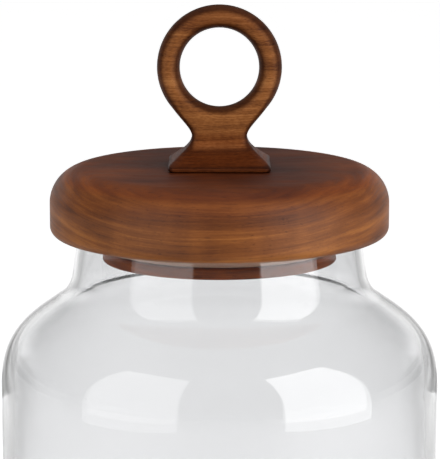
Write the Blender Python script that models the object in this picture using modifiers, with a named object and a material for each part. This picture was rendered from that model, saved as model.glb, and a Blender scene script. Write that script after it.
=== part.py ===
"""Lidded glass canister: a round glass jar and a turned wooden lid with a ring handle.

Metres, +Z up. The origin is the centre of the base on the table, and the ring faces -Y.
"""

import math

import bmesh
import bpy
from mathutils import Vector
from mathutils.geometry import interpolate_bezier

MM = 0.001
GAP = 0.3 * MM  # between pieces that touch

# Jar, outside, top to bottom
JAR_HEIGHT = 150.0 * MM
RIM_RADIUS = 38.8 * MM
NECK_RADIUS = 40.15 * MM  # at the foot of the neck, which widens a little on the way down
NECK_HEIGHT = 10.4 * MM
SHOULDER_TOP_RADIUS = 44.0 * MM
SHOULDER_TOP_DROP = 17.25 * MM  # below the rim
SHOULDER_SLOPE = math.radians(36.0)
SHOULDER_BOTTOM_DROP = 41.2 * MM
NECK_EASES = (3.1 * MM, 2.5 * MM)  # handles of the curve from the neck to the shoulder
SHOULDER_EASES = (9.9 * MM, 14.6 * MM)  # handles of the curve from the shoulder to the body
BODY_RADIUS = 60.0 * MM
WALL = 3.2 * MM  # of the body
NECK_WALL = 2.4 * MM
HEEL_RADIUS = 8.0 * MM
FLOOR = 6.0 * MM
HEEL_ANGLE = -84.0  # where the heel's round ends, in degrees
PUSH_UP = 1.8 * MM  # hollow under the base, inside the resting ring
PUSH_UP_SLOPE = 3.0 * MM
RESTING_RING = (43.0 * MM, 51.0 * MM)

# Lid, measured from its underside
LID_Z = JAR_HEIGHT + GAP
LID_RADIUS = 46.2 * MM
LID_THICKNESS = 18.3 * MM
LID_TOP_ROUND = 9.5 * MM
LID_BOTTOM_ROUND = 2.5 * MM

# Plug and seal under the lid
PLUG_HUB_RADIUS = 28.0 * MM
PLUG_FLANGE_RADIUS = 31.95 * MM
PLUG_FLANGE_TOP = 3.9 * MM
PLUG_DEPTH = 6.85 * MM
PLUG_ROUND = 0.7 * MM
SEAL_BAND_RADIUS = 31.4 * MM
SEAL_LIP_RADIUS = 36.1 * MM
SEAL_LIP = 0.6 * MM
SEAL_LIP_DROPS = (0.4 * MM, 1.5 * MM)

# Handle, measured from the top of the lid
RING_HEIGHT = 27.15 * MM  # of the ring's centre
RING_RADIUS = 16.9 * MM
HOLE_RADIUS = 10.7 * MM
RING_DEPTH = 9.0 * MM
SECTION_POWER = 2.1  # the ring's section is a superellipse, a little fuller than an oval
WAIST = (7.45 * MM, 4.45 * MM, 8.75 * MM)  # half width, half depth and height of the stem's waist
STEM_TOP = (14.6 * MM, 4.45 * MM, 19.0 * MM)  # where the stem has widened into the ring
FOOT = (13.8 * MM, 12.5 * MM, 1.3 * MM)  # the foot's half width, half depth and upright edge
FOOT_CHAMFER = 0.3 * MM
FLARE_START = (-2.8 * MM, -6.3 * MM, 2.6 * MM)  # handle of the flare at the foot
FLARE_END = (0.0, -1.05 * MM, -2.9 * MM)  # handle of the flare at the waist
SPREAD_START = (0.0, 0.0, 2.2 * MM)  # handle of the upper curve at the waist
SPREAD_END = (-2.7 * MM, 0.0, -5.0 * MM)  # its handle at the ring
STEM_ROUND = (2.0 * MM, 2.0 * MM)  # corner radii across and front to back, seen from above
RING_ROUND = (3.0 * MM, 4.3 * MM)  # the same where the stem meets the ring

# Wood screws, head down, up through the lid into the foot
SCREW_SPREAD = 5.0 * MM  # each one's distance from the middle
SCREW_HEAD_RADIUS = 3.5 * MM
SCREW_HEAD_HEIGHT = 2.3 * MM
SCREW_HEAD_EDGE = 0.4 * MM
SCREW_RADIUS = 1.7 * MM
SCREW_LENGTH = 24.5 * MM
SCREW_POINT = 3.0 * MM
RECESS_RADIUS = 1.3 * MM
RECESS_DEPTH = 1.2 * MM
RECESS_TAPER = 0.6
PILOT_START = 2.0 * MM  # how far below the lid's underside its cutter begins

ROUND_STEPS = 64


def clear_scene():
    for obj in list(bpy.data.objects):
        bpy.data.objects.remove(obj, do_unlink=True)


def collection(name, helper=False):
    made = bpy.data.collections.new(name)
    bpy.context.scene.collection.children.link(made)
    made.hide_render = helper
    return made


def material(name, colour, roughness, metallic=0.0, transmission=0.0):
    made = bpy.data.materials.new(name)
    made.use_nodes = True
    shader = made.node_tree.nodes["Principled BSDF"]
    shader.inputs["Base Color"].default_value = (*colour, 1.0)
    shader.inputs["Roughness"].default_value = roughness
    shader.inputs["Metallic"].default_value = metallic
    shader.inputs["Transmission Weight"].default_value = transmission
    return made


def arc(centre, radii, start, end, steps):
    """Points of an elliptical arc round centre, angles in degrees."""
    angles = [math.radians(start + (end - start) * i / steps) for i in range(steps + 1)]
    return [
        (centre[0] + radii[0] * math.cos(a), centre[1] + radii[1] * math.sin(a))
        for a in angles
    ]


def bezier(start, start_handle, end_handle, end, steps):
    points = interpolate_bezier(
        *(Vector(p).to_3d() for p in (start, start_handle, end_handle, end)), steps + 1
    )
    return [tuple(p) for p in points]


def superellipse(half_width, half_height, start, end, steps):
    """Points of a superellipse round the origin, angles in degrees."""
    points = []
    for c, s in arc((0, 0), (1, 1), start, end, steps):
        points.append(
            (
                half_width * math.copysign(abs(c) ** (2 / SECTION_POWER), c),
                half_height * math.copysign(abs(s) ** (2 / SECTION_POWER), s),
            )
        )
    return points


def wall_at(z):
    """How thick the glass is. It thickens through the shoulder, from the neck to the body."""
    high, low = JAR_HEIGHT - SHOULDER_TOP_DROP, JAR_HEIGHT - SHOULDER_BOTTOM_DROP
    share = min(max((high - z) / (high - low), 0.0), 1.0)
    return NECK_WALL + share * (WALL - NECK_WALL)


def inner_face(points):
    """The inside of the glass, from the outside's points on the way down."""
    moved = []
    for i, (x, z) in enumerate(points):
        before, after = points[max(i - 1, 0)], points[min(i + 1, len(points) - 1)]
        dx, dz = after[0] - before[0], after[1] - before[1]
        wall = wall_at(z) / math.hypot(dx, dz)
        moved.append((x + wall * dz, z - wall * dx))
    return moved


def into_scene(name, mesh, home, surface):
    if surface:
        mesh.materials.append(surface)
    obj = bpy.data.objects.new(name, mesh)
    home.objects.link(obj)
    if home.hide_render:
        obj.display_type = "WIRE"
        obj.hide_render = True
    return obj


def revolve(name, profile, home, surface=None, closed=False, steps=ROUND_STEPS):
    """Turns a profile of (radius, height), which runs down its outer side, round Z."""
    edges = [(i, i + 1) for i in range(len(profile) - 1)]
    if closed:
        edges.append((len(profile) - 1, 0))
    mesh = bpy.data.meshes.new(name)
    mesh.from_pydata([(x, 0, z) for x, z in profile], edges, [])
    obj = into_scene(name, mesh, home, surface)
    turn = obj.modifiers.new("turn", "SCREW")
    turn.axis = "Z"
    turn.angle = math.tau
    turn.steps = turn.render_steps = steps
    turn.use_merge_vertices = True
    turn.merge_threshold = 0.00001
    turn.use_smooth_shade = False
    return obj


def loft(name, levels, home, surface):
    """Stacks rounded rectangles of (half width, half depth, height, corner radii)."""
    bm = bmesh.new()
    rings = []
    for half_width, half_depth, z, radii in levels:
        ring = []
        for quarter in range(4):
            side_x = 1 if quarter in (0, 3) else -1
            side_y = 1 if quarter < 2 else -1
            centre = (side_x * (half_width - radii[0]), side_y * (half_depth - radii[1]))
            for x, y in arc(centre, radii, 90 * quarter, 90 * (quarter + 1), 5):
                ring.append(bm.verts.new((x, y, z)))
        rings.append(ring)
    for lower, upper in zip(rings, rings[1:]):
        for i in range(len(lower)):
            j = (i + 1) % len(lower)
            bm.faces.new((lower[i], lower[j], upper[j], upper[i]))
    bm.faces.new(reversed(rings[0]))
    bm.faces.new(rings[-1])
    mesh = bpy.data.meshes.new(name)
    bm.to_mesh(mesh)
    bm.free()
    return into_scene(name, mesh, home, surface)


def combine(target, operation, other):
    step = target.modifiers.new(f"{operation.lower()}_{other.name}", "BOOLEAN")
    step.operation = operation
    step.solver = "EXACT"
    step.object = other


def axis_empty(name, z, parent=None):
    made = bpy.data.objects.new(name, None)
    made.empty_display_size = 0.02
    canister.objects.link(made)
    made.location.z = z
    hang_from(made, parent)
    return made


def hang_from(obj, parent):
    """Parents obj and leaves it where it stands. Every parent here is unrotated."""
    if parent:
        obj.parent = parent
        obj.location -= parent_place(parent)


def parent_place(obj):
    place = obj.location.copy()
    return place + parent_place(obj.parent) if obj.parent else place


def jar_profile():
    rim = (RIM_RADIUS, JAR_HEIGHT - NECK_WALL / 2)
    neck = (NECK_RADIUS, JAR_HEIGHT - NECK_HEIGHT)
    top = (SHOULDER_TOP_RADIUS, JAR_HEIGHT - SHOULDER_TOP_DROP)
    bottom = (BODY_RADIUS, JAR_HEIGHT - SHOULDER_BOTTOM_DROP)
    down = (Vector(neck) - Vector(rim)).normalized()
    out = Vector((math.cos(SHOULDER_SLOPE), -math.sin(SHOULDER_SLOPE)))
    below_neck = Vector(neck) + down * NECK_EASES[0]
    above_top = Vector(top) - out * NECK_EASES[1]
    below_top = Vector(top) + out * SHOULDER_EASES[0]
    above_bottom = Vector(bottom) + Vector((0, SHOULDER_EASES[1]))
    outside = (
        [rim]
        + [p[:2] for p in bezier(neck, below_neck, above_top, top, 4)]
        + [p[:2] for p in bezier(top, below_top, above_bottom, bottom, 9)[1:]]
        + [(BODY_RADIUS, 2 * HEEL_RADIUS)]
    )
    inside = inner_face(outside)
    # The rim is a half round across the wall.
    middle = (outside[0][0] + inside[0][0]) / 2
    half = (outside[0][0] - inside[0][0]) / 2
    rim_round = arc((middle, JAR_HEIGHT - half), (half, half), 180, 0, 6)
    round_radii = (HEEL_RADIUS, HEEL_RADIUS)
    heel = arc((BODY_RADIUS - HEEL_RADIUS, HEEL_RADIUS), round_radii, 0, HEEL_ANGLE, 4)
    corner_centre = (BODY_RADIUS - WALL - HEEL_RADIUS, FLOOR + HEEL_RADIUS)
    floor_corner = arc(corner_centre, round_radii, -90, 0, 4)
    base = [
        (RESTING_RING[1], 0.0),
        (RESTING_RING[0], 0.0),
        (RESTING_RING[0] - PUSH_UP_SLOPE, PUSH_UP),
        (0.0, PUSH_UP),
    ]
    inner_line = floor_corner + inside[:0:-1]
    return [(0.0, FLOOR)] + inner_line + rim_round + outside[1:] + heel + base


def lid_profile():
    top = LID_Z + LID_THICKNESS
    high, low = LID_TOP_ROUND, LID_BOTTOM_ROUND
    return (
        [(0.0, top)]
        + arc((LID_RADIUS - high, top - high), (high, high), 90, 0, 7)
        + arc((LID_RADIUS - low, LID_Z + low), (low, low), 0, -90, 3)
        + [(0.0, LID_Z)]
    )


def plug_profile():
    low = LID_Z - PLUG_DEPTH
    edge = LID_Z - PLUG_FLANGE_TOP
    centre = PLUG_FLANGE_RADIUS - PLUG_ROUND
    return (
        [(0.0, LID_Z - GAP), (PLUG_HUB_RADIUS, LID_Z - GAP), (PLUG_HUB_RADIUS, edge)]
        + arc((centre, edge - PLUG_ROUND), (PLUG_ROUND, PLUG_ROUND), 90, 0, 2)
        + arc((centre, low + PLUG_ROUND), (PLUG_ROUND, PLUG_ROUND), 0, -90, 2)
        + [(0.0, low)]
    )


def seal_profile():
    inner = PLUG_HUB_RADIUS + GAP
    points = [(inner, LID_Z - GAP), (SEAL_BAND_RADIUS, LID_Z - GAP)]
    for drop in SEAL_LIP_DROPS:
        centre = (SEAL_LIP_RADIUS - SEAL_LIP / 2, LID_Z - drop - SEAL_LIP / 2)
        points.append((SEAL_BAND_RADIUS, LID_Z - drop))
        points += arc(centre, (SEAL_LIP / 2, SEAL_LIP / 2), 90, -90, 2)
        points.append((SEAL_BAND_RADIUS, LID_Z - drop - SEAL_LIP))
    low = LID_Z - PLUG_FLANGE_TOP + GAP
    return points + [(SEAL_BAND_RADIUS, low), (inner, low)]


def screw_profile(clearance, recessed):
    """From the point down to the head, whose face is at height 0."""
    neck = SCREW_HEAD_RADIUS - SCREW_RADIUS
    shank = SCREW_RADIUS + clearance
    points = [
        (0.0, SCREW_LENGTH + clearance),
        (shank, SCREW_LENGTH - SCREW_POINT + clearance),
        (shank, SCREW_HEAD_HEIGHT),
        (shank + neck, SCREW_HEAD_EDGE),
    ]
    if recessed:
        deep = (RECESS_TAPER * RECESS_RADIUS, RECESS_DEPTH)
        points += [(shank + neck, 0.0), (RECESS_RADIUS, 0.0), deep, (0.0, RECESS_DEPTH)]
    else:
        points += [(shank + neck, -PILOT_START), (0.0, -PILOT_START)]
    return points


def handle_levels():
    """Foot, flare and stem, as (half width, half depth, height above the lid, corner radii)."""
    foot, waist, top = Vector(FOOT), Vector(WAIST), Vector(STEM_TOP)
    flare = bezier(foot, foot + Vector(FLARE_START), waist + Vector(FLARE_END), waist, 9)
    spread = bezier(waist, waist + Vector(SPREAD_START), top + Vector(SPREAD_END), top, 7)
    sole = (FOOT[0] - FOOT_CHAMFER, FOOT[1] - FOOT_CHAMFER, GAP)
    edge = (FOOT[0], FOOT[1], GAP + FOOT_CHAMFER)
    levels = [(*point, STEM_ROUND) for point in [sole, edge] + flare]
    for i, point in enumerate(spread[1:], 1):
        share = i / (len(spread) - 1)
        levels.append((*point, Vector(STEM_ROUND).lerp(Vector(RING_ROUND), share)))
    return levels


def face_forwards(obj, z):
    obj.rotation_euler.x = math.pi / 2
    obj.location.z = z


clear_scene()
canister = collection("lidded_glass_canister")
cutters = collection("cutters", helper=True)

clear_glass = material("clear_glass", (0.93, 0.95, 0.95), 0.02, transmission=1.0)
lid_wood = material("lid_wood", (0.24, 0.10, 0.04), 0.45)
plug_wood = material("plug_wood", (0.22, 0.08, 0.035), 0.5)
handle_wood = material("handle_wood", (0.28, 0.12, 0.045), 0.4)
silicone = material("silicone", (0.72, 0.68, 0.70), 0.35, transmission=0.3)
zinc_steel = material("zinc_steel", (0.62, 0.62, 0.60), 0.3, metallic=1.0)

revolve("glass_jar", jar_profile(), canister, clear_glass)
disc = revolve("lid_disc", lid_profile(), canister, lid_wood)
plug = revolve("lid_plug", plug_profile(), canister, plug_wood)
seal = revolve("seal_ring", seal_profile(), canister, silicone, closed=True)

lid_top = LID_Z + LID_THICKNESS
handle = loft("ring_handle", handle_levels(), canister, handle_wood)
handle.location.z = lid_top

half_width = (RING_RADIUS - HOLE_RADIUS) / 2
middle = (RING_RADIUS + HOLE_RADIUS) / 2
rounded = superellipse(half_width, RING_DEPTH / 2, 90, -90, 10)
ring_blank = revolve(
    "ring_blank",
    [(0.0, RING_DEPTH / 2)] + [(middle + x, y) for x, y in rounded] + [(0.0, -RING_DEPTH / 2)],
    cutters,
)
face_forwards(ring_blank, lid_top + RING_HEIGHT)
combine(handle, "UNION", ring_blank)

beyond = middle + 1 * MM
finger_hole = revolve(
    "finger_hole",
    [(0.0, RING_DEPTH), (beyond, RING_DEPTH), (beyond, RING_DEPTH / 2)]
    + [(middle - x, y) for x, y in rounded]
    + [(beyond, -RING_DEPTH / 2), (beyond, -RING_DEPTH), (0.0, -RING_DEPTH)],
    cutters,
)
face_forwards(finger_hole, lid_top + RING_HEIGHT)
combine(handle, "DIFFERENCE", finger_hole)

screws = []
for side, x in (("left", -SCREW_SPREAD), ("right", SCREW_SPREAD)):
    screw = revolve(
        f"handle_screw_{side}", screw_profile(0.0, recessed=True), canister, zinc_steel, steps=24
    )
    pilot = revolve(f"pilot_{side}", screw_profile(GAP, recessed=False), cutters, steps=24)
    for obj in (screw, pilot):
        obj.location = (x, 0.0, LID_Z + GAP)
    combine(disc, "DIFFERENCE", pilot)
    combine(handle, "DIFFERENCE", pilot)
    screws.append(screw)

lift_axis = axis_empty("lid_lift_axis", LID_Z)
turn_axis = axis_empty("lid_turn_axis", LID_Z, lift_axis)
hang_from(seal, lift_axis)
for obj in (disc, plug, handle, *screws):
    hang_from(obj, turn_axis)
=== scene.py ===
"""Looks of the lidded glass canister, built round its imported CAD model."""

import math

import bmesh
import bpy
import numpy as np
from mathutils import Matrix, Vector
from mathutils.geometry import interpolate_bezier


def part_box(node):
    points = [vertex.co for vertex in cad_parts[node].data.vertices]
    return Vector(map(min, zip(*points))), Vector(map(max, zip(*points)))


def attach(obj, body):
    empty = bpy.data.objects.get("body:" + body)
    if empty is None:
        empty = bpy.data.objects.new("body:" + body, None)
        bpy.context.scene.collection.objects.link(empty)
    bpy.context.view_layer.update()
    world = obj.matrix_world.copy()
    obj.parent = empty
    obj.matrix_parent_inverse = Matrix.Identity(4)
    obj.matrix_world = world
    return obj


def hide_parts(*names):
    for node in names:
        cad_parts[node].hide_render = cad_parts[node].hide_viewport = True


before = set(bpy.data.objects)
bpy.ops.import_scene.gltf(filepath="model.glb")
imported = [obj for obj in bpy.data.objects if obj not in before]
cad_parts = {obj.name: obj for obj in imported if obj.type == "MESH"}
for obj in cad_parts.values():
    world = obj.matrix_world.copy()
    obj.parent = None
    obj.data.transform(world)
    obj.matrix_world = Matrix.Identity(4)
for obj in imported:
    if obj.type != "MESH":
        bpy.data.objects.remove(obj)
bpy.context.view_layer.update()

MM = 0.001
MM_PER_METRE = 1000.0
LATHE_STEPS = 256
SHARP_ANGLE = 40

jar_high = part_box("glass_jar")[1]
disc_low, disc_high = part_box("lid_disc")
plug_low, plug_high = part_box("lid_plug")
seal_low, seal_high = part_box("seal_ring")
handle_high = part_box("ring_handle")[1]

RIM_Z = jar_high.z
LID_Z = disc_low.z
LID_TOP = disc_high.z
BODY_RADIUS = jar_high.x
LID_RADIUS = disc_high.x


# ---------------------------------------------------------------- curves and meshes


def arc(centre, radii, start, end, steps):
    """Points of an elliptical arc round centre, angles in degrees."""
    angles = np.radians(np.linspace(start, end, steps + 1))
    return [
        (centre[0] + radii[0] * math.cos(a), centre[1] + radii[1] * math.sin(a)) for a in angles
    ]


def bezier(start, start_handle, end_handle, end, steps):
    """Points of a curve, in two or three dimensions as its ends are."""
    knots = (Vector(p).to_3d() for p in (start, start_handle, end_handle, end))
    return [tuple(p)[: len(start)] for p in interpolate_bezier(*knots, steps + 1)]


def line(start, end, steps):
    return [tuple(p) for p in np.linspace(start, end, steps + 1)]


def new_object(name, data):
    obj = bpy.data.objects.new(name, data)
    bpy.context.scene.collection.objects.link(obj)
    return obj


def new_mesh(name, bm):
    """The mesh that bm holds. It frees bm."""
    mesh = bpy.data.meshes.new(name)
    bm.to_mesh(mesh)
    bm.free()
    return mesh


def lathe(name, profile, steps=LATHE_STEPS, closed=False):
    """Turns a profile of (radius, height), which runs down its outer side, round Z."""
    bm = bmesh.new()
    columns = []
    for i in range(steps):
        a = math.tau * i / steps
        columns.append([(r * math.cos(a), r * math.sin(a), z) for r, z in profile])
    poles = {i: bm.verts.new((0, 0, z)) for i, (r, z) in enumerate(profile) if abs(r) < 1e-9}
    rings = [
        [poles.get(i) or bm.verts.new(p) for i, p in enumerate(column)] for column in columns
    ]
    count = len(profile)
    for i in range(steps):
        here, there = rings[i], rings[(i + 1) % steps]
        for k in range(count if closed else count - 1):
            n = (k + 1) % count
            corners = []
            for v in (here[k], here[n], there[n], there[k]):
                if v not in corners:
                    corners.append(v)
            bm.faces.new(corners)
    mesh = new_mesh(name, bm)
    mesh.shade_smooth()
    mesh.set_sharp_from_angle(angle=math.radians(SHARP_ANGLE))
    return new_object(name, mesh)


# ---------------------------------------------------------------- node helpers


class Nodes:
    """A short way to write the nodes of a material or of the world."""

    def __init__(self, tree, output):
        self.tree = tree
        self.tree.nodes.clear()
        self.out = self.tree.nodes.new(output)

    def add(self, kind, inputs=None, **settings):
        node = self.tree.nodes.new(kind)
        for key, value in settings.items():
            setattr(node, key, value)
        for key, value in (inputs or {}).items():
            self.put(node.inputs[key], value)
        return node

    def put(self, socket, value):
        if isinstance(value, bpy.types.NodeSocket):
            self.tree.links.new(value, socket)
        else:
            socket.default_value = value

    def math(self, operation, a, b=0.0):
        return self.add("ShaderNodeMath", {0: a, 1: b}, operation=operation).outputs[0]

    def total(self, weighted, middle):
        """The sum of each value's distance from a half, times its weight, round middle."""
        result = middle
        for value, weight in weighted:
            centred = self.math("MULTIPLY", self.math("SUBTRACT", value, 0.5), weight)
            result = self.math("ADD", centred, result)
        return result

    def vector(self, operation, a, b):
        node = self.add("ShaderNodeVectorMath", {0: a}, operation=operation)
        self.put(node.inputs[3 if operation == "SCALE" else 1], b)
        return node.outputs[0]

    def parts(self, vector):
        """The X, Y and Z of a vector."""
        return tuple(self.add("ShaderNodeSeparateXYZ", {0: vector}).outputs)

    def noise(self, where, scale, detail=2.0, rough=0.5):
        return self.add(
            "ShaderNodeTexNoise",
            {"Vector": where, "Scale": scale, "Detail": detail, "Roughness": rough},
        ).outputs["Fac"]

    def stretched(self, where, scales, detail, rough):
        """Noise with its own scale along each axis."""
        return self.noise(self.vector("MULTIPLY", where, scales), 1.0, detail, rough)

    def ramp(self, value, colours):
        """The colours, spread evenly over values from 0 to 1."""
        node = self.add("ShaderNodeValToRGB", {"Fac": value})
        elements = node.color_ramp.elements
        while len(elements) < len(colours):
            elements.new(0.5)
        for i, colour in enumerate(colours):
            elements[i].position = i / (len(colours) - 1)
            elements[i].color = (*colour, 1.0)
        return node.outputs["Color"]

    def span(self, value, low, high, to_low=0.0, to_high=1.0, kind="SMOOTHSTEP"):
        node = self.add(
            "ShaderNodeMapRange",
            {"Value": value, "From Min": low, "From Max": high, "To Min": to_low,
             "To Max": to_high},
            interpolation_type=kind,
        )
        return node.outputs[0]

    def mix(self, factor, a, b, blend="MIX"):
        node = self.add("ShaderNodeMix", data_type="RGBA", blend_type=blend)
        for key, value in ((0, factor), (6, a), (7, b)):
            self.put(node.inputs[key], (*value, 1.0) if isinstance(value, tuple) else value)
        return node.outputs[2]

    def bump(self, height, strength, distance):
        node = self.add(
            "ShaderNodeBump", {"Height": height, "Strength": strength, "Distance": distance}
        )
        return node.outputs[0]

    def finish(self, shader):
        self.tree.links.new(shader.outputs[0], self.out.inputs["Surface"])


def new_material(name):
    """A material, and what writes its nodes."""
    material = bpy.data.materials.new(name)
    material.use_nodes = True
    return material, Nodes(material.node_tree, "ShaderNodeOutputMaterial")


# ---------------------------------------------------------------- materials

# Noise in wood: its scales per millimetre along X, Y and Z, its detail and its roughness.
BEND = ((0.022, 0.03, 0.03), 1.0, 0.5)
BANDS = ((0.006, 0.02, 0.22), 2.0, 0.5)
STREAKS = ((0.020, 0.05, 0.85), 3.0, 0.6)
FIBRES = ((0.06, 0.12, 2.3), 3.0, 0.65)
SPECKLE = ((0.8, 1.5, 3.0), 2.0, 0.6)
FLAME = ((0.16, 0.10, 0.03), 1.0, 0.5)
PORES = ((0.25, 2.9, 2.9), 1.0, 0.4)

# In millimetres: twice the radius of the layers' arch, the most that they sway, how far out along X
# the middle tint of a painted shade holds, and where its outer tint is full.
ARCH_LENGTH = 340.0
BEND_HEIGHT = 4.0
MIDDLE_END = 14.0
OUTER_START = 38.0

PORE_DEPTH = 0.45
# The tint of the painted shade on faces turned away from Y.
SIDE_SHADE_TINT = (0.30, 0.24, 0.22)


def wood(name, tones, seed, painted_shading=(), painted_side_shade=False, gloss=0.26, mottle=0.3):
    """Oiled wood cut along X, whose growth layers lie nearly flat and show as long streaks.

    Each painted shade or light that is given is the height where it starts, the height where it is
    full, its tint in the middle and its tint far out along X, with the heights in millimetres.
    """
    material, n = new_material(name)
    coordinates = n.add("ShaderNodeTexCoord")
    in_mm = n.vector("SCALE", coordinates.outputs["Object"], MM_PER_METRE)
    x, y, z = n.parts(in_mm)
    moved = n.vector("ADD", in_mm, (seed * 37.0, seed * 11.0, seed * 5.0))

    # The growth layers arch over the middle of the board and sway a little along it.
    arch = n.math("MULTIPLY", n.math("POWER", n.math("ABSOLUTE", y), 2.0), 1 / ARCH_LENGTH)
    lift = n.math("ADD", arch, n.math("MULTIPLY", n.stretched(moved, *BEND), BEND_HEIGHT))
    place = n.vector("ADD", moved, n.add("ShaderNodeCombineXYZ", {2: lift}).outputs[0])
    bands = n.stretched(place, *BANDS)
    streaks = n.stretched(place, *STREAKS)
    fibres = n.stretched(place, *FIBRES)
    speckle = n.stretched(moved, *SPECKLE)
    flame = n.stretched(moved, *FLAME)
    tone = n.total(
        [(bands, 1.2), (streaks, 1.1), (fibres, 0.8), (flame, 0.4), (speckle, mottle)], middle=0.5
    )
    colour = n.ramp(tone, tones)

    pores = n.span(n.stretched(moved, *PORES), 0.66, 0.74)
    pore_colour = tuple(0.3 * c for c in tones[0])
    colour = n.mix(n.math("MULTIPLY", pores, PORE_DEPTH), colour, pore_colour)

    # Painted shade and light: these tints darken or lighten the wood by height and along X to stand
    # in for how the light falls, with edges made uneven by the streaks.
    uneven = n.math("MULTIPLY", n.math("SUBTRACT", streaks, 0.5), 0.9)
    level = n.math("ADD", z, uneven)
    outward = n.span(n.math("ABSOLUTE", x), MIDDLE_END, OUTER_START)
    for none, full, middle_tint, outer_tint in painted_shading:
        tint = n.mix(outward, middle_tint, outer_tint)
        colour = n.mix(n.span(level, none, full), colour, n.mix(1.0, colour, tint, "MULTIPLY"))
    # Painted shade: faces turned away from Y are darkened, as the dimly lit sides of the handle.
    if painted_side_shade:
        _, facing, _ = n.parts(coordinates.outputs["Normal"])
        side = n.span(n.math("ABSOLUTE", facing), 0.975, 0.60)
        colour = n.mix(side, colour, n.mix(1.0, colour, SIDE_SHADE_TINT, "MULTIPLY"))

    height = n.math("SUBTRACT", n.math("MULTIPLY", fibres, 0.6), pores)
    shader = n.add(
        "ShaderNodeBsdfPrincipled",
        {"Base Color": colour, "Roughness": n.span(fibres, 0.25, 0.75, 0.42, 0.56, "LINEAR"),
         "Normal": n.bump(height, 0.3, 0.1 * MM), "Specular IOR Level": gloss},
    )
    n.finish(shader)
    return material


def glass():
    """Clear glass with a faint, wide ripple."""
    material, n = new_material("clear_glass_look")
    place = n.vector("SCALE", n.add("ShaderNodeTexCoord").outputs["Object"], MM_PER_METRE)
    ripple = n.noise(place, 0.03, 0.0)
    shader = n.add(
        "ShaderNodeBsdfPrincipled",
        {"Base Color": (0.838, 0.841, 0.847, 1), "Roughness": 0.0, "IOR": 1.5,
         "Transmission Weight": 1.0, "Normal": n.bump(ripple, 0.1, 0.4 * MM)},
    )
    n.finish(shader)
    return material


def silicone():
    """Smoky, hazy silicone."""
    material, n = new_material("silicone_look")
    place = n.vector("SCALE", n.add("ShaderNodeTexCoord").outputs["Object"], MM_PER_METRE)
    cloud = n.noise(place, 0.6, 3.0)
    shader = n.add(
        "ShaderNodeBsdfPrincipled",
        {"Base Color": n.mix(cloud, (0.56, 0.32, 0.215), (0.70, 0.43, 0.30)),
         "Roughness": n.span(cloud, 0.3, 0.7, 0.38, 0.5), "IOR": 1.41,
         "Subsurface Weight": 0.3, "Subsurface Radius": (1.0, 0.8, 0.7), "Subsurface Scale": MM,
         "Normal": n.bump(n.noise(place, 4.0), 0.1, 0.1 * MM)},
    )
    n.finish(shader)
    return material


def steel():
    """Zinc-plated steel with fine marks round the screw."""
    material, n = new_material("zinc_steel_look")
    place = n.vector("SCALE", n.add("ShaderNodeTexCoord").outputs["Object"], MM_PER_METRE)
    grain = n.noise(n.vector("MULTIPLY", place, (1.0, 1.0, 6.0)), 1.6, 3.0, 0.6)
    shader = n.add(
        "ShaderNodeBsdfPrincipled",
        {"Base Color": n.mix(grain, (0.50, 0.50, 0.47), (0.70, 0.70, 0.68)), "Metallic": 1.0,
         "Roughness": n.span(grain, 0.2, 0.8, 0.25, 0.42), "Normal": n.bump(grain, 0.2, 0.1 * MM)},
    )
    n.finish(shader)
    return material


# ---------------------------------------------------------------- the jar

WALL = 3.2 * MM
NECK_WALL = 2.4 * MM
HEEL = 8.0 * MM
RIM_RADIUS = 38.8 * MM
NECK_FOOT = (40.15 * MM, RIM_Z - 10.4 * MM)
SHOULDER_TOP = (44.0 * MM, RIM_Z - 17.25 * MM)
SHOULDER_BOTTOM = (BODY_RADIUS, RIM_Z - 41.2 * MM)
SHOULDER_SLOPE = math.radians(36.0)

# How far the handles of the outside's two curves stand from their ends, from the neck down.
NECK_PULL = 3.1 * MM
UPPER_PULL = 2.5 * MM
LOWER_PULL = 9.9 * MM
BODY_PULL = 14.6 * MM

FLOOR_Z = 6.0 * MM
STAND_OUTSIDE = 51.0 * MM
STAND_INSIDE = 43.0 * MM
HOLLOW_BEND = 41.5 * MM
HOLLOW_RADIUS = 39.0 * MM
HOLLOW_Z = 1.8 * MM


def outer_face():
    """The outside of the glass, from the rim down to a little above the heel."""
    rim = (RIM_RADIUS, RIM_Z - NECK_WALL / 2)
    neck, top, bottom = Vector(NECK_FOOT), Vector(SHOULDER_TOP), Vector(SHOULDER_BOTTOM)
    down = (neck - Vector(rim)).normalized()
    out = Vector((math.cos(SHOULDER_SLOPE), -math.sin(SHOULDER_SLOPE)))
    turn = bezier(neck, neck + down * NECK_PULL, top - out * UPPER_PULL, top, 20)
    shoulder = bezier(top, top + out * LOWER_PULL, bottom + Vector((0, BODY_PULL)), bottom, 40)
    body = line(SHOULDER_BOTTOM, (BODY_RADIUS, 2 * HEEL), 24)
    return line(rim, NECK_FOOT, 6) + turn[1:] + shoulder[1:] + body[1:]


def inner_face(points):
    """The inside of the glass, which thickens through the shoulder from the neck to the body."""
    moved = []
    for i, (x, z) in enumerate(points):
        before, after = points[max(i - 1, 0)], points[min(i + 1, len(points) - 1)]
        dx, dz = after[0] - before[0], after[1] - before[1]
        share = (SHOULDER_TOP[1] - z) / (SHOULDER_TOP[1] - SHOULDER_BOTTOM[1])
        wall = NECK_WALL + min(max(share, 0.0), 1.0) * (WALL - NECK_WALL)
        wall /= math.hypot(dx, dz)
        moved.append((x + wall * dz, z - wall * dx))
    return moved


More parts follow.
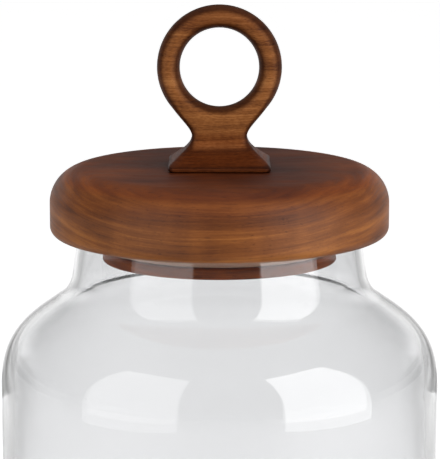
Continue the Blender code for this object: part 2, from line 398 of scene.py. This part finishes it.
def jar_profile():
    """From the middle of the floor, up the inside, over the rim, down and in under the base."""
    outside = outer_face()
    inside = inner_face(outside)
    middle = (outside[0][0] + inside[0][0]) / 2
    half = (outside[0][0] - inside[0][0]) / 2
    rim_round = arc((middle, RIM_Z - half), (half, half), 180, 0, 20)
    corner_centre = (BODY_RADIUS - WALL - HEEL, FLOOR_Z + HEEL)
    inner_corner = arc(corner_centre, (HEEL, HEEL), -90, 0, 16)
    hollow = bezier(
        (STAND_INSIDE, 0), (HOLLOW_BEND, 0), (HOLLOW_BEND, HOLLOW_Z), (HOLLOW_RADIUS, HOLLOW_Z), 8
    )
    return (
        line((0, FLOOR_Z), inner_corner[0], 10)[:-1]
        + inner_corner
        + inside[::-1]
        + rim_round[1:-1]
        + outside
        + arc((BODY_RADIUS - HEEL, HEEL), (HEEL, HEEL), 0, -84, 16)
        + line((STAND_OUTSIDE, 0), (STAND_INSIDE, 0), 4)
        + hollow[1:]
        + line(hollow[-1], (0, HOLLOW_Z), 8)[1:]
    )


jar = lathe("jar_glass", jar_profile())
jar.data.materials.append(glass())
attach(jar, "jar")
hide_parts("glass_jar")


# ---------------------------------------------------------------- the lid


def lid_profile():
    high, low = 9.5 * MM, 2.5 * MM
    return (
        line((0, LID_TOP), (LID_RADIUS - high, LID_TOP), 16)[:-1]
        + arc((LID_RADIUS - high, LID_TOP - high), (high, high), 90, 0, 28)
        + line((LID_RADIUS, LID_TOP - high), (LID_RADIUS, LID_Z + low), 8)[1:-1]
        + arc((LID_RADIUS - low, LID_Z + low), (low, low), 0, -90, 12)
        + line((LID_RADIUS - low, LID_Z), (0, LID_Z), 16)[1:]
    )


def plug_profile():
    radius, low, high = plug_high.x, plug_low.z, plug_high.z
    hub, edge, soft = 28.0 * MM, LID_Z - 3.9 * MM, 0.7 * MM
    return (
        line((0, high), (hub, high), 8)
        + line((hub, high), (hub, edge), 4)[1:]
        + arc((radius - soft, edge - soft), (soft, soft), 90, 0, 6)
        + arc((radius - soft, low + soft), (soft, soft), 0, -90, 6)
        + line((radius - soft, low), (0, low), 12)[1:]
    )


def seal_profile():
    """A band in the plug's groove, with two thin lips that reach out to the neck."""
    inner, band, lip, thick = 28.3 * MM, 31.4 * MM, seal_high.x, 0.6 * MM
    points = line((inner, seal_high.z), (band, seal_high.z), 4)
    for drop in (0.4 * MM, 1.5 * MM):
        centre = (lip - thick / 2, LID_Z - drop - thick / 2)
        points.append((band, LID_Z - drop))
        points += arc(centre, (thick / 2, thick / 2), 90, -90, 10)
        points.append((band, LID_Z - drop - thick))
    return points + line((band, seal_low.z), (inner, seal_low.z), 4)


LID_TONES = ((0.074, 0.019, 0.0034), (0.184, 0.054, 0.0085), (0.328, 0.114, 0.021))
PLUG_TONES = ((0.17, 0.038, 0.0060), (0.38, 0.087, 0.0135), (0.53, 0.147, 0.027))

# Painted shade on the lid: its side darkens upwards, and its top is darkest in the middle, with a
# painted sheen making it paler at both ends.
LID_PAINTED_SHADING = [
    (LID_Z / MM + 6.0, LID_Z / MM + 15.0, (0.74, 0.60, 0.52), (0.85, 0.75, 0.70)),
    (LID_Z / MM + 14.8, LID_Z / MM + 16.6, (0.64, 0.49, 0.36), (1.12, 0.93, 0.62)),
]

disc = lathe("lid_disc_wood", lid_profile())
disc.data.materials.append(wood("lid_wood_look", LID_TONES, seed=1.0, painted_shading=LID_PAINTED_SHADING))
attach(disc, "lid")
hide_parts("lid_disc")

plug = lathe("lid_plug_wood", plug_profile())
plug.data.materials.append(wood("plug_wood_look", PLUG_TONES, seed=2.0))
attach(plug, "lid")
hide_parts("lid_plug")

seal = lathe("seal_silicone", seal_profile(), closed=True)
seal.data.materials.append(silicone())
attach(seal, "seal")
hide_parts("seal_ring")


# ---------------------------------------------------------------- the handle

RING_Z = LID_TOP + 27.15 * MM
RING_RADIUS = handle_high.z - RING_Z
HOLE_RADIUS = 10.7 * MM
RING_DEPTH = 9.0 * MM
RING_STEPS = 128
SECTION_POWER = 2.1

# Places on the foot's edge, the waist and the stem: half width, half depth, height over the lid.
FOOT = Vector((13.8 * MM, 12.5 * MM, 1.3 * MM))
WAIST = Vector((7.45 * MM, 4.45 * MM, 8.75 * MM))
STEM_TOP = Vector((14.6 * MM, 4.45 * MM, 19.0 * MM))

# How far the handles of the curves between them stand from those places.
FLARE_START = Vector((-2.8 * MM, -6.3 * MM, 2.6 * MM))
FLARE_END = Vector((0, -1.05 * MM, -2.9 * MM))
SPREAD_START = Vector((0, 0, 2.2 * MM))
SPREAD_END = Vector((-2.7 * MM, 0, -5.0 * MM))

FOOT_CHAMFER = 0.3 * MM
FOOT_GAP = 0.04 * MM
STEM_ROUND = Vector((2.0 * MM, 2.0 * MM))
RING_ROUND = Vector((3.0 * MM, 4.3 * MM))
VOXEL = 0.3 * MM

HANDLE_TONES = ((0.092, 0.028, 0.009), (0.235, 0.082, 0.022), (0.380, 0.155, 0.048))

# Painted shade and light on the handle: the flare is painted a little darker than the stem and the
# foot lighter, and painted shade darkens the foot's lower edge and the top of the ring.
HANDLE_PAINTED_SHADING = [
    (LID_TOP / MM + 11.5, LID_TOP / MM + 7.0, (0.85, 0.71, 0.64), (0.85, 0.71, 0.64)),
    (LID_TOP / MM + 6.0, LID_TOP / MM + 3.5, (1.55, 1.45, 1.30), (1.55, 1.45, 1.30)),
    (LID_TOP / MM + 2.2, LID_TOP / MM + 1.2, (0.40, 0.36, 0.36), (0.40, 0.36, 0.36)),
    (handle_high.z / MM - 9.0, handle_high.z / MM - 3.0, (0.68, 0.60, 0.58), (0.68, 0.60, 0.58)),
]


def superellipse(half_width, half_height, start, end, steps):
    """Points of an arc a little squarer than an ellipse, round the origin."""
    power = 2 / SECTION_POWER
    points = []
    for c, s in arc((0, 0), (1, 1), start, end, steps):
        x = half_width * math.copysign(abs(c) ** power, c)
        y = half_height * math.copysign(abs(s) ** power, s)
        points.append((x, y))
    return points


def rounded_loft(name, levels, corner_steps=8):
    """A solid through rounded rectangles of (half width, half depth, height, corner radii)."""
    bm = bmesh.new()
    rings = []
    for half_width, half_depth, z, radii in levels:
        ring = []
        for quarter in range(4):
            side_x = 1 if quarter in (0, 3) else -1
            side_y = 1 if quarter < 2 else -1
            centre = (side_x * (half_width - radii[0]), side_y * (half_depth - radii[1]))
            for x, y in arc(centre, radii, 90 * quarter, 90 * (quarter + 1), corner_steps):
                ring.append(bm.verts.new((x, y, z)))
        rings.append(ring)
    for lower, upper in zip(rings, rings[1:]):
        for i in range(len(lower)):
            j = (i + 1) % len(lower)
            bm.faces.new((lower[i], lower[j], upper[j], upper[i]))
    bm.faces.new(reversed(rings[0]))
    bm.faces.new(rings[-1])
    return new_object(name, new_mesh(name, bm))


def handle_levels():
    """Foot, flare and stem, as rounded_loft takes them."""
    flare = bezier(FOOT, FOOT + FLARE_START, WAIST + FLARE_END, WAIST, 30)
    spread = bezier(WAIST, WAIST + SPREAD_START, STEM_TOP + SPREAD_END, STEM_TOP, 30)
    sole = (FOOT.x - FOOT_CHAMFER, FOOT.y - FOOT_CHAMFER, FOOT_GAP)
    edge = (FOOT.x, FOOT.y, FOOT_GAP + FOOT_CHAMFER)
    levels = [(*point, STEM_ROUND) for point in [sole, edge] + flare]
    for i, point in enumerate(spread[1:], 1):
        levels.append((*point, STEM_ROUND.lerp(RING_ROUND, i / (len(spread) - 1))))
    return [(x, y, z + LID_TOP, radii) for x, y, z, radii in levels]


def combine(target, operation, other):
    step = target.modifiers.new(other.name, "BOOLEAN")
    step.operation = operation
    step.solver = "EXACT"
    step.object = other


def baked(obj, name):
    """A new object with obj's modifiers applied, in place of obj."""
    graph = bpy.context.evaluated_depsgraph_get()
    mesh = bpy.data.meshes.new_from_object(obj.evaluated_get(graph))
    mesh.transform(obj.matrix_world)
    bpy.data.objects.remove(obj)
    mesh.name = name
    return new_object(name, mesh)


def make_handle():
    """Stem and ring joined, the finger hole cut, and the joins blended by a fine remesh."""
    body = rounded_loft("handle_blank", handle_levels())
    half, middle = (RING_RADIUS - HOLE_RADIUS) / 2, (RING_RADIUS + HOLE_RADIUS) / 2
    rounded = superellipse(half, RING_DEPTH / 2, 90, -90, 24)
    blank = lathe(
        "ring_blank",
        [(0, RING_DEPTH / 2)] + [(middle + x, y) for x, y in rounded] + [(0, -RING_DEPTH / 2)],
        RING_STEPS,
    )
    beyond = middle + 1 * MM
    hole = lathe(
        "hole_cutter",
        [(0, RING_DEPTH), (beyond, RING_DEPTH), (beyond, RING_DEPTH / 2)]
        + [(middle - x, y) for x, y in rounded]
        + [(beyond, -RING_DEPTH / 2), (beyond, -RING_DEPTH), (0, -RING_DEPTH)],
        RING_STEPS,
    )
    for obj in (blank, hole):
        obj.rotation_euler.x = math.pi / 2
        obj.location.z = RING_Z
    combine(body, "UNION", blank)
    combine(body, "DIFFERENCE", hole)
    remesh = body.modifiers.new("remesh", "REMESH")
    remesh.mode = "VOXEL"
    remesh.voxel_size = VOXEL
    soft = body.modifiers.new("soft", "SMOOTH")
    soft.factor = 0.5
    soft.iterations = 8
    bpy.context.view_layer.update()
    made = baked(body, "handle_wood")
    for obj in (blank, hole):
        bpy.data.objects.remove(obj)
    made.data.shade_smooth()
    return made


handle = make_handle()
handle.data.materials.append(
    wood("handle_wood_look", HANDLE_TONES, seed=3.0, painted_shading=HANDLE_PAINTED_SHADING, painted_side_shade=True,
         gloss=0.07, mottle=0.9)
)
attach(handle, "lid")
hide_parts("ring_handle")

screw_look = steel()
for name in ("handle_screw_left", "handle_screw_right"):
    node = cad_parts[name]
    node.data.materials.clear()
    node.data.materials.append(screw_look)


# ---------------------------------------------------------------- floor, light and camera

CAMERA_TILT = math.radians(10.37)
CAMERA_DISTANCE = 0.6833
CAMERA_LENS = 196.1
AIM_RIGHT = 0.15 * MM
AIM_UP = 0.82 * MM
FLOOR_RADIUS = 6.0
SOFTBOX_DISTANCE = 0.5
SOFTBOX_HEIGHT = 0.80
LIGHT_BOUNCES = 32

# About how far in front of the jar the lines of sight meet, from which the floor's glow fans out.
FAN_START = 0.70


def make_floor():
    """A pale floor that glows white behind the jar, less to its sides and not in front of it."""
    bm = bmesh.new()
    bmesh.ops.create_circle(bm, cap_ends=True, radius=FLOOR_RADIUS, segments=96)
    floor = new_object("floor", new_mesh("floor", bm))
    material, n = new_material("floor_look")
    x, y, _ = n.parts(n.add("ShaderNodeTexCoord").outputs["Object"])
    behind = n.span(y, -0.20, -0.02)
    away = n.math("ADD", n.math("MAXIMUM", y, 0.0), FAN_START)
    aside = n.math("DIVIDE", n.math("ABSOLUTE", x), away)

    # Two white wings stand apart from the white middle, and light the sides of the glass.
    wings = n.math("MULTIPLY", n.span(aside, 0.185, 0.225), n.span(aside, 0.30, 0.26))
    wings = n.math("MULTIPLY", wings, n.span(y, 0.25, 0.42))
    aside = n.math("SUBTRACT", aside, n.span(y, 0.45, 0.65, 0.0, 0.13))
    between = n.math("MAXIMUM", n.span(aside, 0.165, 0.105), wings)
    glow = n.math("MULTIPLY", behind, n.span(between, 0.0, 1.0, 0.27, 0.71, "LINEAR"))
    shader = n.add(
        "ShaderNodeBsdfPrincipled",
        {"Base Color": (0.82, 0.82, 0.82, 1), "Roughness": 0.9, "Specular IOR Level": 0.1,
         "Emission Color": (1, 1, 1, 1), "Emission Strength": glow},
    )
    n.finish(shader)
    floor.data.materials.append(material)


def make_world():
    """White behind the jar, at the horizon and in two low wings, grey overhead, dark elsewhere."""
    world = bpy.data.worlds.new("studio")
    bpy.context.scene.world = world
    world.use_nodes = True
    n = Nodes(world.node_tree, "ShaderNodeOutputWorld")
    x, y, z = n.parts(n.add("ShaderNodeTexCoord").outputs["Generated"])
    horizon = n.span(n.span(y, 0.55, 0.95), 0.0, 1.0, 0.12, 1.0, "LINEAR")
    ceiling = n.span(z, 0.3, 1.0, 0.12, 0.50)
    aside = n.span(n.math("ABSOLUTE", x), 0.06, 0.22)
    wings = n.math("MULTIPLY", aside, n.span(z, 0.35, 0.15))
    wings = n.math("MULTIPLY", wings, n.span(y, 0.3, 0.7))
    above = n.math("ADD", ceiling, n.math("MULTIPLY", wings, 0.85))
    fade = n.span(z, 0.03, 0.09)
    strength = n.math(
        "ADD",
        n.math("MULTIPLY", horizon, n.math("SUBTRACT", 1.0, fade)),
        n.math("MULTIPLY", above, fade),
    )
    n.finish(n.add("ShaderNodeBackground", {"Color": (1, 1, 1, 1), "Strength": strength}))


def softbox(name, azimuth, width, strength):
    """A tall soft light on the floor that faces the jar. Azimuth 0 is in front, and 90 on +X."""
    light = bpy.data.lights.new(name, "AREA")
    light.shape = "RECTANGLE"
    light.size, light.size_y = width, SOFTBOX_HEIGHT
    light.energy = strength * width * SOFTBOX_HEIGHT * math.pi
    obj = new_object(name, light)
    a = math.radians(azimuth)
    obj.location = (
        SOFTBOX_DISTANCE * math.sin(a), -SOFTBOX_DISTANCE * math.cos(a), SOFTBOX_HEIGHT / 2
    )
    obj.rotation_euler = (math.pi / 2, 0, a)
    obj.visible_camera = False


def make_camera():
    data = bpy.data.cameras.new("camera")
    data.lens = CAMERA_LENS
    data.clip_start = 0.02
    data.clip_end = 50
    camera = new_object("camera", data)
    bpy.context.scene.camera = camera
    ahead = Vector((0, math.cos(CAMERA_TILT), -math.sin(CAMERA_TILT)))
    up = Vector((0, math.sin(CAMERA_TILT), math.cos(CAMERA_TILT)))
    aim = Vector((AIM_RIGHT, 0, LID_Z)) + up * AIM_UP
    camera.location = aim - ahead * CAMERA_DISTANCE
    camera.rotation_euler = (math.pi / 2 - CAMERA_TILT, 0, 0)


make_floor()
make_world()
softbox("softbox_left", azimuth=-45.5, width=0.47, strength=1.45)
softbox("softbox_right", azimuth=56, width=0.45, strength=2.9)
make_camera()

# Light that runs round inside the wall of the glass needs many reflections to come out again.
paths = bpy.context.scene.cycles
paths.max_bounces = paths.glossy_bounces = paths.transmission_bounces = LIGHT_BOUNCES

view = bpy.context.scene.view_settings
view.view_transform = "Standard"
view.look = "None"
